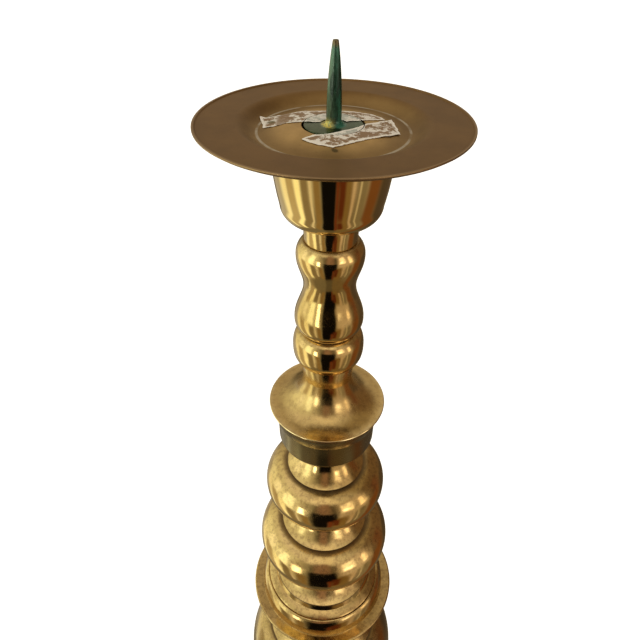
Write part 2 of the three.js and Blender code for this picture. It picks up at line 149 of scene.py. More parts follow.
class Finish:
    """A material under construction, with its nodes."""

    def __init__(self, name, **constants):
        self.material = bpy.data.materials.new(name)
        self.material.use_nodes = True
        self.tree = self.material.node_tree
        self.shader = self.tree.nodes["Principled BSDF"]
        for socket, value in constants.items():
            self.shader.inputs[socket.replace("_", " ").title()].default_value = value
        self.place = self.node("ShaderNodeTexCoord", output="Object")

    def node(self, kind, settings=None, values=None, output=0):
        made = self.tree.nodes.new(kind)
        for key, value in (settings or {}).items():
            setattr(made, key, value)
        for key, value in (values or {}).items():
            self.feed(made.inputs[key], value)
        return Wire(self, made.outputs[output])

    def feed(self, socket, value):
        if isinstance(value, Wire):
            self.tree.links.new(value.socket, socket)
        elif isinstance(value, tuple) and len(value) == 3 and socket.type == "RGBA":
            socket.default_value = (*value, 1)
        else:
            socket.default_value = value

    def noise(self, scale, detail=3, rough=0.55, place=None):
        return self.node("ShaderNodeTexNoise", None, {"Vector": place or self.place, "Scale": scale,
                                                      "Detail": detail, "Roughness": rough})

    def mix(self, share, low, high):
        return self.node("ShaderNodeMix", {"data_type": "RGBA"}, {0: share, 6: low, 7: high}, output=2)

    def axis(self, letter):
        return self.node("ShaderNodeSeparateXYZ", None, {"Vector": self.place}, output=letter)

    def turning(self):
        """Distance from the lathe's axis, in metres."""
        x, y = self.axis("X"), self.axis("Y")
        return (x * x + y * y) ** 0.5

    def away_from(self, spot):
        """Distance from a spot, in metres."""
        return self.node("ShaderNodeVectorMath", {"operation": "DISTANCE"}, {0: self.place, 1: spot}, "Value")

    def mark(self, name):
        """A number that the piece holds at each of its points."""
        return self.node("ShaderNodeAttribute", {"attribute_name": name}, None, "Fac")

    def bump(self, height, distance, strength=1.0, under=None):
        values = {"Height": height, "Distance": distance, "Strength": strength}
        if under is not None:
            values["Normal"] = under
        return self.node("ShaderNodeBump", None, values)

    def paint(self, **wires):
        for socket, value in wires.items():
            self.feed(self.shader.inputs[socket.replace("_", " ").title()], value)
        return self.material


def finished(piece, material, body, slot, *nodes):
    """Gives a piece its material and body, and hides the CAD nodes it stands for."""
    piece.data.materials.clear()
    piece.data.materials.append(material)
    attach(piece, body)
    if nodes:
        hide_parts(*nodes)
    return piece


def felt():
    cloth = Finish("pad_felt", roughness=0.95)
    fuzz = cloth.noise(900, 4)
    nap = cloth.bump(fuzz, 0.3 * MM)
    return cloth.paint(base_color=cloth.mix(fuzz, (0.02, 0.045, 0.02), (0.05, 0.09, 0.045)), normal=nap)


pad_felt = felt()
for number in (1, 2, 3):
    node = f"floor_pad_{number}"
    low, high = (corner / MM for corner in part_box(node))
    radius, height = (high.x - low.x) / 2, high.z - low.z
    middle = (low + high) / 2
    pad = turned(f"felt_pad_{number}", [(0, 0), (radius, 0), (radius, height), (0, height)],
                 low.z, 0.4, 32, (middle.x, middle.y))
    finished(pad, pad_felt, "stem", "felt", node)

# Foot. A heavy ring of cast brass with an upright edge and a rounded ledge, turned and polished outside.
# Its top plate has a wide hole, and the clamp bar pulls on that plate from below.
wall, web, seat_gap, spigot_height, rod_bore = 4, 5, 0.3, 4, 5.5
foot_edge, foot_step, foot_hole = 11, 7, 100
dome_neck_radius, dome_flare = 74, 1.7


def extent(node):
    """A turned node's lowest and highest point and its largest radius, in mm."""
    low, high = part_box(node)
    return low.z / MM, high.z / MM, high.x / MM


def bead(radius, z, width, height, start, end, steps, square=2):
    """Points along a squared ellipse, from one angle to another in degrees."""
    points = []
    for i in range(steps + 1):
        angle = math.radians(start + (end - start) * i / steps)
        across, up = abs(math.cos(angle)), math.sin(angle)
        points.append((radius + width * across ** (2 / square),
                       z + height * math.copysign(abs(up) ** (2 / square), up)))
    return points


def neck_side(foot, top, height, flare, steps=24):
    """Points up a concave neck, from its wide foot to its narrow top. A larger flare widens it later."""
    rises = [height * (i / steps) ** (flare / 2) for i in range(steps + 1)]
    return [(top + (foot - top) * (1 - z / height) ** flare, z) for z in rises]


def side_radius(side, z):
    """Radius of a side at a height."""
    for (r0, z0), (r1, z1) in zip(side, side[1:]):
        if z1 >= z:
            return r0 + (r1 - r0) * (z - z0) / (z1 - z0)


def casting(outside, cavity, height, mouth, spigot, hole=rod_bore):
    """A hollow casting's closed profile: outside up, spigot and plate, then the cavity down to the mouth."""
    boss = [(spigot, height), (spigot, height + spigot_height), (hole, height + spigot_height)]
    return [*outside, *boss, (hole, height - web), *cavity, (mouth, 0)]


def shell(side, spigot):
    """A casting whose cavity follows its side up to the plate on top."""
    top_radius, height = side[-1]
    inside = [(r - wall, z) for r, z in side[::4] if 0 < z < height - web]
    return casting(side, [(top_radius - wall, height - web), *reversed(inside)], height,
                   side[0][0] - wall, spigot)


def spigot_in(joint_radius):
    """Radius of a spigot in a mouth whose section has this radius outside."""
    return joint_radius - wall - seat_gap


def cast(piece, node, metal, spigot=spigot_height):
    """Finishes a brass casting. Two marks hold each point's height above its foot and depth below its top."""
    low, high, _ = extent(node)
    for mark, side, start in (("rise", 1, low), ("drop", -1, high - spigot)):
        values = piece.data.attributes.new(mark, "FLOAT", "POINT").data
        for point, value in zip(piece.data.vertices, values):
            value.value = side * (point.co.z / MM - start)
    return finished(piece, metal, "stem", "brass", node)


def brass(name, shine, dull, specks, fresh=(0.82, 0.60, 0.26), aged=(0.62, 0.43, 0.16),
          wavy=1.0, joint_dirt_and_shade_share=0.9, edge=None):
    """Polished brass: broad clouds of tarnish, clusters of brown specks, faint waves of the buffing wheel,
    browner shoulders where they face up, old polish in the joints darkened further as painted shade, and an
    edge rubbed bright with a painted highlight line along it."""
    metal = Finish(name, metallic=1.0)
    # Old polish and dirt in the joints, darkened further as painted shade where the parts meet.
    joint_dirt_and_shade = 2 - metal.mark("rise").above(0.2, 0.15) - metal.mark("drop").above(0.9, 0.8)
    facing = metal.node("ShaderNodeTexCoord", output="Normal")
    shoulder = metal.node("ShaderNodeSeparateXYZ", None, {"Vector": facing}, output="Z").above(0.45, 0.3)
    cloud = metal.noise(16, 5)
    wear = metal.noise(110, 4, 0.65)
    dots = metal.noise(1300, 2).above(0.65, 0.03) * metal.noise(70, 2).above(0.55, 0.07)
    stains = metal.noise(230, 4, 0.62).above(0.55, 0.12) * (shoulder * 0.5 + 0.12)
    colour = metal.mix(cloud.above(0.52, 0.16), fresh, aged)
    colour = metal.mix(shoulder * specks * 0.3, colour, (0.46, 0.32, 0.14))
    colour = metal.mix(stains * specks, colour, (0.28, 0.18, 0.08))
    colour = metal.mix(dots * specks, colour, (0.10, 0.055, 0.02))
    colour = metal.mix(joint_dirt_and_shade * joint_dirt_and_shade_share, colour, (0.15, 0.095, 0.045))
    rough = wear.above(0.5, 0.3) * (dull - shine) + shine + dots * specks * 0.3 + joint_dirt_and_shade * 0.3
    rough = rough + shoulder * specks * 0.06
    if edge is not None:
        # A narrow band at the edge's height: rubbed bright, and painted paler still as a highlight line.
        height = (metal.axis("Z") - edge * MM).maths("ABSOLUTE")
        rubbed_and_highlit_edge = 1 - (height + wear * 0.5 * MM).above(1.2 * MM, 0.35 * MM)
        colour = metal.mix(rubbed_and_highlit_edge * 0.8, colour, (0.88, 0.72, 0.42))
        rough = rough * (1 - rubbed_and_highlit_edge * 0.5)
    waves = metal.bump(metal.noise(45, 1), 0.8 * MM * wavy, 0.8)
    dents = metal.bump(metal.noise(160, 1), 0.12 * MM * wavy, 0.6, waves)
    marks = metal.node("ShaderNodeCombineXYZ", None, {"X": metal.turning(), "Z": metal.axis("Z")})
    grooves = metal.bump(metal.noise(1500, 1, 0.5, marks), 0.02 * MM, 0.4, dents)
    return metal.paint(base_color=colour, roughness=rough, normal=grooves)


lower_brass = brass("lower_brass", 0.10, 0.26, 1.0, (0.58, 0.41, 0.17), (0.42, 0.29, 0.11))
foot_base, foot_top, foot_radius = extent("base_foot")
dome_base, dome_top, dome_foot_radius = extent("base_dome")
foot_height = foot_top - spigot_height - foot_base
dome_height = dome_top - spigot_height - dome_base
dome_side = neck_side(dome_foot_radius, dome_neck_radius, dome_height, dome_flare)
ledge = foot_radius - foot_step
ledge_height = foot_height - foot_edge
foot_outside = [(foot_radius, 0), (foot_radius, foot_edge),
                *bead(dome_foot_radius, foot_edge, ledge - dome_foot_radius, ledge_height, 0, 90, 16)]
foot_inside = bead(dome_foot_radius, foot_edge, ledge - dome_foot_radius - wall, ledge_height - web,
                   90, 0, 8)
foot_spigot = spigot_in(side_radius(dome_side, spigot_height))
foot_profile = casting(foot_outside, foot_inside, foot_height, ledge - wall, foot_spigot, foot_hole)
foot = turned("foot", foot_profile, foot_base, 1.2, 160)
cast(foot, "base_foot", lower_brass)

# Dome and base neck. Two hollow castings of brass, a bell and a waisted neck, each centred by its
# spigot in the mouth of the next.
base_neck_waist = 60
neck_base, neck_top, lower_seat = extent("base_neck")
neck_height = neck_top - spigot_height - neck_base


def wave(low, high, steps=12):
    """Points from one (radius, height) to a higher one, upright at both ends."""
    (r0, z0), (r1, z1) = low, high
    shares = [i / steps for i in range(steps + 1)]
    return [(r0 + (r1 - r0) * (1 - math.cos(math.pi * t)) / 2, z0 + (z1 - z0) * t) for t in shares]


waist = (base_neck_waist, neck_height / 2)
base_neck_side = wave((dome_neck_radius, 0), waist) + wave(waist, (lower_seat, neck_height))[1:]
dome_spigot = spigot_in(side_radius(base_neck_side, spigot_height))
dome = turned("dome", shell(dome_side, dome_spigot), dome_base, 0.6, 160)
cast(dome, "base_dome", lower_brass)
base_neck = turned("base_neck_turned", shell(base_neck_side, spigot_in(lower_seat)), neck_base, 0.6)
cast(base_neck, "base_neck", lower_brass)

# Ring knops and the necks between them. Hollow brass castings, turned and buffed to a mirror; a knop is one
# round bead, and a neck spreads like a trumpet to a sharp edge that stands on the knop below.
shaft_neck_top, lower_neck_top, middle_neck_top, upper_neck_top = 46, 37, 30, 24.5
middle_knop_seat, upper_knop_seat = 50, 40
neck_flare, bell_slope = 3.6, 0.6
stem_brass = brass("stem_brass", 0.05, 0.14, 0.8)


def knop(node, seat, neck_below, side_above, metal):
    """One hollow bead, whose spigot enters the neck above and whose mouth takes the spigot below."""
    base, top, radius = extent(node)
    height = top - spigot_height - base
    half = height / 2
    outside = bead(seat, half, radius - seat, half, -90, 90, 48)
    cavity = bead(seat, half, radius - seat - wall, half - web, 90, -90, 16)
    mouth = neck_below - wall
    profile = casting(outside, [*cavity, (mouth, web)], height, mouth,
                      spigot_in(side_radius(side_above, spigot_height)))
    return cast(turned(f"{node}_turned", profile, base, 0.3, 160), node, metal)


def trumpet_neck(node, top_radius, metal):
    """A neck with a straight bore, and a wider mouth for the spigot below."""
    base, high, radius = extent(node)
    height = high - spigot_height - base
    side = neck_side(radius, top_radius, height, neck_flare)
    bore, mouth = top_radius - wall, side_radius(side, spigot_height) - wall
    mouth_top = spigot_height + seat_gap
    cavity = [(bore, height - web), (bore, mouth_top + bell_slope * (mouth - bore)), (mouth, mouth_top)]
    profile = casting(side, cavity, height, mouth, spigot_in(top_radius))
    cast(turned(f"{node}_turned", profile, base, 0.3), node, metal)
    return side


shaft_side = trumpet_neck("shaft_neck", shaft_neck_top, lower_brass)
lower_side = trumpet_neck("lower_neck", lower_neck_top, stem_brass)
middle_side = trumpet_neck("middle_neck", middle_neck_top, stem_brass)
upper_side = trumpet_neck("upper_neck", upper_neck_top, stem_brass)
knop("lower_ring_knop", lower_seat, lower_seat, shaft_side, lower_brass)
knop("middle_ring_knop", middle_knop_seat, lower_neck_top, middle_side, stem_brass)
knop("upper_ring_knop", upper_knop_seat, middle_neck_top, upper_side, stem_brass)

# Stepped knop. One hollow brass casting with a wide thin flange at its foot, then a soft bulge, a fine turned
# line, a slanting band, and a steep shoulder that ends under the neck.
flange_edge, bulge_height, bulge_radius, band_radius = 4, 25.7, 83, 73.7
shoulder_radius, shoulder_rise, stepped_wall_foot, stepped_floor, fine_line = 64.5, 5.3, 10.7, 56, 0.5
under_bevel, under_bevel_height, over_bevel, over_bevel_height = 0.6, 0.8, 1.6, 1
flange_base, stepped_top, flange_radius = extent("stepped_knop")
stepped_height = stepped_top - spigot_height - flange_base
band_base = flange_edge + bulge_height
band_top = lower_side[0][0]
bulge = bead(band_radius, flange_edge, bulge_radius - band_radius, bulge_height, 0, 81, 20)
band = [(band_radius + (shoulder_radius - band_radius) * t, band_base + shoulder_rise * (1 - (1 - t) ** 1.3))
        for t in (i / 6 for i in range(7))]
stepped_outside = [(flange_radius - under_bevel, 0), (flange_radius, under_bevel_height),
                   (flange_radius, flange_edge - over_bevel_height),
                   (flange_radius - over_bevel, flange_edge), *bulge,
                   (band_radius - fine_line, band_base - 1.4 * fine_line),
                   (band_radius - fine_line, band_base - fine_line / 2), *band, (band_top, stepped_height)]
stepped_inside = [(band_top - wall, stepped_height - web), (band_radius - wall, band_base - web),
                  (band_radius - wall, flange_edge + stepped_wall_foot), (stepped_floor, flange_edge),
                  (shaft_neck_top - wall, flange_edge)]
stepped_profile = casting(stepped_outside, stepped_inside, stepped_height, shaft_neck_top - wall,
                          spigot_in(side_radius(lower_side, spigot_height)))
stepped = turned("stepped_knop_turned", stepped_profile, flange_base, 0.4, 160)
stepped_brass = brass("stepped_knop_brass", 0.06, 0.16, 0.9, (0.70, 0.50, 0.21), (0.52, 0.36, 0.14))
cast(stepped, "stepped_knop", stepped_brass)

# Stepped collar and flared disc. The collar is a drum with a step, of darker and duller brass, with a painted
# highlight line along its step; the disc above it is one casting that flares out of a plain neck to a thin
# rim, rubbed bright and painted brighter still as a highlight.
collar_base, collar_top, disc_seat = extent("stepped_collar")
collar_height = collar_top - spigot_height - collar_base
collar_foot, collar_lower, collar_step, collar_round, collar_lower_height = 45, 50, 51.7, 6, 33
collar_bevel, collar_bevel_height = 0.4, 0.8
collar_outside = [*bead(collar_foot, collar_round, collar_lower - collar_foot, collar_round, -90, 0, 10),
                  (collar_lower + collar_bevel, collar_lower_height - collar_bevel_height),
                  (collar_step, collar_lower_height), (disc_seat, collar_height)]
collar_inside = [(collar_lower - wall, collar_height - web), (collar_lower - wall, collar_round),
                 (upper_neck_top - wall, web)]
collar_brass = brass("collar_brass", 0.16, 0.30, 0.3, (0.29, 0.225, 0.105), (0.22, 0.165, 0.075), 0.5,
                     edge=collar_base + collar_lower_height)
collar_profile = casting(collar_outside, collar_inside, collar_height, upper_neck_top - wall,
                         spigot_in(disc_seat))
collar = turned("stepped_collar_turned", collar_profile, collar_base, 0.4, 160)
cast(collar, "stepped_collar", collar_brass)

disc_base, disc_top, disc_radius = extent("flared_disc")
disc_height = disc_top - spigot_height - disc_base
disc_edge, disc_flare, disc_neck, ball_seat = 5, 39.4, 24.5, 24
disc_lip_under, disc_lip_low, disc_lip_high, disc_lip_over = 0.7, 1.6, 0.8, 0.6
flare = [(disc_radius - disc_lip_over + (disc_neck - disc_radius) * (1 - (1 - t) ** 2),
          disc_edge + disc_flare * t ** 1.8) for t in (i / 28 for i in range(29))]
disc_outside = [(disc_seat, 0), (disc_radius - disc_lip_under, disc_edge - disc_lip_low),
                (disc_radius, disc_edge - disc_lip_high), *flare[:-1],
                (disc_neck, disc_edge + disc_flare), (disc_neck, disc_height)]
disc_inside = [(disc_neck - wall, disc_height - web), (disc_neck - wall, disc_edge + disc_flare / 2),
               (disc_neck + wall, spigot_height + seat_gap), (disc_seat - wall, spigot_height + seat_gap)]
disc_brass = brass("disc_brass", 0.14, 0.27, 0.5, (0.72, 0.52, 0.22), (0.52, 0.36, 0.14), 0.9,
                   edge=disc_base + disc_edge - 1)
disc_profile = casting(disc_outside, disc_inside, disc_height, disc_seat - wall, spigot_in(ball_seat))
disc = turned("flared_disc_turned", disc_profile, disc_base, 0.5, 160)
cast(disc, "flared_disc", disc_brass)

# Ball knop, vase knop and ring. Three small hollow castings of polished brass, with a deep groove between
# the ball and the vase, and a plain ring as the last one under the cup.
ball_base, ball_top, ball_radius = extent("ball_knop")
ball_height = ball_top - spigot_height - ball_base
ball_shoulder = 22
vase_base, _, vase_radius = extent("vase_knop")
groove_radius, vase_waist, vase_head, vase_neck = 25, 23, 29.2, 23.5
vase_marks = (0, 14, 49, 79, 93)


def bead_end(wide, narrow, steps=8):
    """Points from a bead's widest place to its end, falling away ever faster."""
    (r0, z0), (r1, z1) = wide, narrow
    return [(r0 + (r1 - r0) * (i / steps) ** 2.4, z0 + (z1 - z0) * i / steps) for i in range(steps + 1)]


vase_foot = bead_end((vase_radius, vase_marks[1]), (groove_radius, vase_marks[0]))[::-1]
vase_middle = wave((vase_radius, vase_marks[1]), (vase_waist, vase_marks[2]))
vase_upper = wave((vase_waist, vase_marks[2]), (vase_head, vase_marks[3]))
vase_crown = bead_end((vase_head, vase_marks[3]), (vase_neck, vase_marks[4]))
vase_side = vase_foot + vase_middle[1:] + vase_upper[1:] + vase_crown[1:]
small_brass = brass("small_knop_brass", 0.05, 0.13, 0.9, joint_dirt_and_shade_share=0.4)
ring_base, ring_top, ring_radius = extent("cup_ring")
ring_height = ring_top - ring_base
vase = turned("vase_knop_turned", shell(vase_side, spigot_in(ring_radius)), vase_base, 0.2)
cast(vase, "vase_knop", small_brass)

half = ball_height / 2
ball_outside = bead(ball_shoulder, half, ball_radius - ball_shoulder, half, -90, 90, 36, 2.4)
ball_inside = [(ball_shoulder - wall, ball_height - web),
               *bead(ball_shoulder - wall, half, ball_radius - ball_shoulder, half - web, 60, -60, 8),
               (ball_seat - wall, web)]
ball_profile = casting(ball_outside, ball_inside, ball_height, ball_seat - wall, spigot_in(groove_radius))
ball = turned("ball_knop_turned", ball_profile, ball_base, 0.4)
cast(ball, "ball_knop", small_brass)
ring = turned("cup_ring_turned", [(ring_radius, 0), (ring_radius, ring_height), (rod_bore, ring_height),
                                  (rod_bore, ring_height - web), (ring_radius - wall, ring_height - web),
                                  (ring_radius - wall, 0)], ring_base, 0.2)
cast(ring, "cup_ring", small_brass, 0)

# Cup. A spun brass bowl with a rounded bottom and a steep side, polished like a mirror outside; the pan
# sits on its rim.
cup_floor_radius, cup_corner_width, cup_corner_height, cup_wall, cup_floor = 25, 16, 14, 3, 4
cup_base, cup_top, cup_rim_radius = extent("cup_bowl")
cup_height = cup_top - cup_base


def cup_skin(inset, floor, steps):
    """One skin of the cup from the middle up: round corner, then a side that straightens to the rim."""
    foot = cup_floor_radius + cup_corner_width
    corner = bead(cup_floor_radius, cup_corner_height, cup_corner_width - inset, cup_corner_height - floor,
                  -90, 0, steps)
    shares = [(i + 1) / steps for i in range(steps)]
    return corner + [(foot - inset + (cup_rim_radius - foot) * (1 - (1 - t) ** 2),
                      cup_corner_height + (cup_height - cup_corner_height) * t) for t in shares]


cup_brass = brass("cup_brass", 0.03, 0.07, 0.2, (0.80, 0.60, 0.27), (0.72, 0.52, 0.21), 0.1, 0.4)
cup = turned("cup", [(rod_bore, 0), *cup_skin(0, 0, 16), *cup_skin(cup_wall, cup_floor, 10)[::-1],
                     (rod_bore, cup_floor)], cup_base, 0.5, 160)
cast(cup, "cup_bowl", cup_brass, 0)

# Post. A turned brass pillar that stands in the cup on a wider foot. It screws onto the rod below, and takes
# the pricket's stud in a threaded hole above.
post_base, post_top, post_foot = extent("cup_post")
post_height = post_top - post_base
post_radius, post_foot_height, post_foot_slope = 12, 5, 3
rod_hole, rod_depth, stud_hole, stud_depth = 5.3, 27, 4.3, 17.6
stud_floor = post_height - stud_depth
post = turned("post", [(0, rod_depth), (rod_hole, rod_depth), (rod_hole, 0), (post_foot, 0),
                       (post_foot, post_foot_height), (post_radius, post_foot_height + post_foot_slope),
                       (post_radius, post_height), (stud_hole, post_height), (stud_hole, stud_floor),
                       (0, stud_floor)], post_base, 0.6, 64)
cast(post, "cup_post", collar_brass, 0)

# Drip pan. Spun from sheet brass: a thin bright lip, a wide flat rim, a slope, and a well whose floor rises
# to the hole. It was never polished again and has turned brown, with a pale line of wax in its corner.
pan_wall, lip_width, pan_bevel, pan_bevel_top, rim_inner = 2.2, 2, 2.5, 0.4, 71
well_radius, well_depth, hole_depth, hole_radius = 55.4, 7.5, 3.2, 23.2
pan_radius = extent("drip_pan")[2]


def pan_skin(drop):
    """The pan's upper or lower skin, from the hole outwards."""
    floor = [(hole_radius + (well_radius - hole_radius) * t,
              -hole_depth - (well_depth - hole_depth) * t ** 1.15) for t in (i / 14 for i in range(15))]
    slope = [(well_radius + (rim_inner - well_radius) * t,
              -well_depth * (1 + math.cos(math.pi * t)) / 2) for t in (i / 14 for i in range(1, 15))]
    return [(r, z - drop) for r, z in floor + slope]


def pan_finish():
    """Browned satin brass: rings of the spinning tool, blotches, a well painted golden as a sheen that
    brightens towards the hole, a wax line, a dark drop.
    """
    drop_place = Vector((1, -42, pan_plane - 6)) * MM
    metal = Finish("pan_brown_brass")
    reach = metal.turning()
    ring_marks = metal.noise(2600, 2, 0.6, metal.node("ShaderNodeCombineXYZ", None, {"X": reach}))
    blotch = metal.noise(28, 5, 0.6)
    fine = metal.noise(330, 3, 0.6)
    inside = 1 - reach.above((well_radius + 9) * MM, 9 * MM)
    rim_brown = metal.mix(blotch.above(0.5, 0.25), (0.195, 0.112, 0.044), (0.255, 0.150, 0.060))
    # The well is painted more golden than the rim, and brightest towards the hole: a painted sheen standing
    # in for the light on the satin well.
    painted_well_sheen = metal.mix(blotch.above(0.5, 0.2), (0.24, 0.150, 0.060), (0.34, 0.220, 0.090))
    painted_floor_sheen = metal.mix(blotch.above(0.5, 0.2), (0.44, 0.290, 0.115), (0.62, 0.420, 0.180))
    painted_well_sheen = metal.mix(reach.above(43 * MM, 9 * MM), painted_floor_sheen, painted_well_sheen)
    colour = metal.mix(inside, rim_brown, painted_well_sheen)
    colour = metal.mix(fine.above(0.66, 0.06) * 0.15, colour, (0.08, 0.045, 0.02))
    wax = reach.above((well_radius - 1) * MM, 0.4 * MM)
    wax = wax * (1 - reach.above((well_radius + 0.9) * MM, 0.4 * MM)) * metal.noise(60, 2).above(0.40, 0.14)
    colour = metal.mix(wax * 0.8, colour, (0.46, 0.41, 0.33))
    edge = reach.above((pan_radius - 1.4) * MM, 0.6 * MM)
    colour = metal.mix(edge * 0.5, colour, (0.44, 0.31, 0.18))
    drop = 1 - (metal.away_from(drop_place) + fine * 3 * MM).above(4 * MM, 0.8 * MM)
    colour = metal.mix(drop * 0.7, colour, (0.045, 0.04, 0.015))
    rough = 0.42 + ring_marks * 0.08 + blotch * 0.08 - edge * 0.1
    marks = metal.bump(ring_marks, 0.05 * MM, 0.35)
    dents = metal.bump(fine, 0.04 * MM, 0.3, marks)
    return metal.paint(base_color=colour, roughness=rough, metallic=1 - wax * 0.9, normal=dents)


lip = pan_radius - lip_width
pan_profile = [*pan_skin(pan_wall), (pan_radius - pan_bevel, -pan_wall), (pan_radius, -pan_bevel_top),
               (pan_radius, pan_lip), (lip, pan_lip), (lip - pan_lip, 0), *pan_skin(0)[::-1]]
pan = turned("drip_pan_spun", pan_profile, pan_plane, 0.4, 192)
finished(pan, pan_finish(), "pan", "pan_brass", "drip_pan")

# Pricket. A forged spike with a round flange and a screwed stud below it, green with verdigris all over
# except at its blunt tip; it screws down through a washer into the post.
flange_thickness, stud_radius, stud_length, spike_root, spike_tip, spike_fillet = 3, 4, 18, 5.6, 2, 4.5
spike_taper, bare_from = 2.3, 52
pricket_low, pricket_high, pricket_flange = extent("pricket")
pricket_base = pricket_low + stud_length
spike_height = pricket_high - pricket_base - flange_thickness


def verdigris():
    """Green patina in streaks and clouds, with a painted highlight in pale green along one side, and worn
    down to the brass at the tip.
    """
    skin = Finish("verdigris_brass")
    tall = skin.node("ShaderNodeMapping", None, {"Vector": skin.place, "Scale": (1, 1, 0.25)})
    cloud = skin.noise(160, 5, 0.6, tall)
    fine = skin.noise(700, 4, 0.6)
    reach = skin.turning()
    height = skin.axis("Z") - (pricket_base + flange_thickness) * MM
    colour = skin.mix(cloud.above(0.5, 0.12), (0.004, 0.026, 0.017), (0.025, 0.14, 0.095))
    colour = skin.mix(fine.above(0.66, 0.08) * 0.35, colour, (0.16, 0.30, 0.20))
    # A pale green painted highlight down the left side.
    left = 1 - skin.axis("X").above(-1.2 * MM, 3.5 * MM)
    colour = skin.mix(left * cloud.above(0.45, 0.1) * 0.3, colour, (0.42, 0.50, 0.34))
    foot = 1 - height.above(4.5 * MM, 3 * MM)
    glow = foot * skin.axis("X").above(3 * MM, 3 * MM)
    colour = skin.mix(glow * 0.5, colour, (0.03, 0.20, 0.16))
    disc = (1 - height.above(0.4 * MM, 0.4 * MM)) * reach.above(9 * MM, 1.5 * MM)
    colour = skin.mix(disc * 0.8, colour, skin.mix(cloud, (0.015, 0.035, 0.014), (0.09, 0.115, 0.045)))
    rubbed = foot * left * fine.above(0.42, 0.1) * (1 - reach.above(9 * MM, 1 * MM))
    colour = skin.mix(rubbed * 0.9, colour, (0.75, 0.62, 0.15))
    bare = height.above(bare_from * MM, 2 * MM)
    colour = skin.mix(bare, colour, (0.16, 0.13, 0.07))
    metal = bare * 0.5 + 0.35 + rubbed * 0.3 + disc * 0.5
    rough = 0.15 + fine * 0.17 + bare * 0.15
    crust = skin.bump(fine, 0.12 * MM, 0.4)
    return skin.paint(base_color=colour, roughness=rough, metallic=metal,
                      normal=skin.bump(cloud, 0.5 * MM, 0.5, crust))


fillet = bead(spike_root + spike_fillet, flange_thickness + spike_fillet, -spike_fillet, spike_fillet,
              -90, 0, 10)
shank_rises = [spike_fillet + (spike_height - spike_fillet) * (i + 1) / 36 for i in range(36)]
shank = [(spike_root - (spike_root - spike_tip) * (h / spike_height) ** spike_taper, flange_thickness + h)
         for h in shank_rises]
spike = turned("pricket_spike", [(0, -stud_length), (stud_radius, -stud_length), (stud_radius, 0),
                                 (pricket_flange, 0), (pricket_flange, flange_thickness), *fillet, *shank,
                                 (0, flange_thickness + spike_height)], pricket_base, 0.5, 72)
finished(spike, verdigris(), "pricket", "verdigris", "pricket")

# Tape. Two strips of old paper tape lie across the well and the pricket's flange, torn at every edge and
# split along the pan's hole. The paper is stained brown by wax, and rubbed white where it is torn.
tape_back = [(-55, 22), (-45.5, 23.8), (-36.8, 26.3), (-25.7, 31.2), (-10.5, 30.4), (8.4, 31.2), (19.7, 29.7),
             (28.7, 27.3), (36.5, 19.7), (37.8, 16.4), (22.7, 9), (6.1, 5.2), (-6.4, 4.2), (-14.6, 3.6),
             (-22.1, 3.2), (-34.4, 3.9), (-40.7, 0.8), (-50.6, -0.7)]
tape_front = [(-21.4, -26.7), (-14.1, -20.9), (-7.9, -21.1), (4.4, -14.8), (16.4, -6.4), (23, 1),
              (34.3, 8.7), (43.1, 17.9), (46.5, -10.8), (38.3, -16.4), (26.2, -23.2), (11, -33),
              (-0.3, -39.1), (-9, -35.9), (-15.7, -32.2)]
tape_thickness, tear, tear_step, weave, tape_reach = 0.16, 0.9, 1.1, 1.6, 60
split_inside, split_outside, spike_room, cutter_reach = 21.5, 22.2, 10.4, 20
back_lift, front_lift, overlap_from, overlap_run, overlap_rise, nowhere = 0.14, 0.16, 28, 6, 0.5, 200
curl_radius, curl_slope = 56, 0.06


def torn(outline):
    """The outline with its sides cut into short steps that wander as a tear does."""
    points = []
    for start, end in zip(outline, outline[1:] + outline[:1]):
        start, end = Vector(start), Vector(end)
        steps = max(1, round((end - start).length / tear_step))
        aside = (end - start).orthogonal().normalized()
        for i in range(steps):
            spot = start.lerp(end, i / steps)
            drift = noise.noise(Vector((*spot, 3.0)) * 0.22) + 0.5 * noise.noise(Vector((*spot, 9.0)) * 0.9)
            points.append(spot + aside * drift * tear)
    return points


def rest_height(reach):
    """Height of the flange or the pan under a point of the tape, in mm."""
    if reach < hole_radius:
        return pan_plane - hole_depth
    skin = pan_skin(0)
    for (r0, z0), (r1, z1) in zip(skin, skin[1:]):
        if r1 >= reach:
            return pan_plane + z0 + (z1 - z0) * (reach - r0) / (r1 - r0)
    return pan_plane


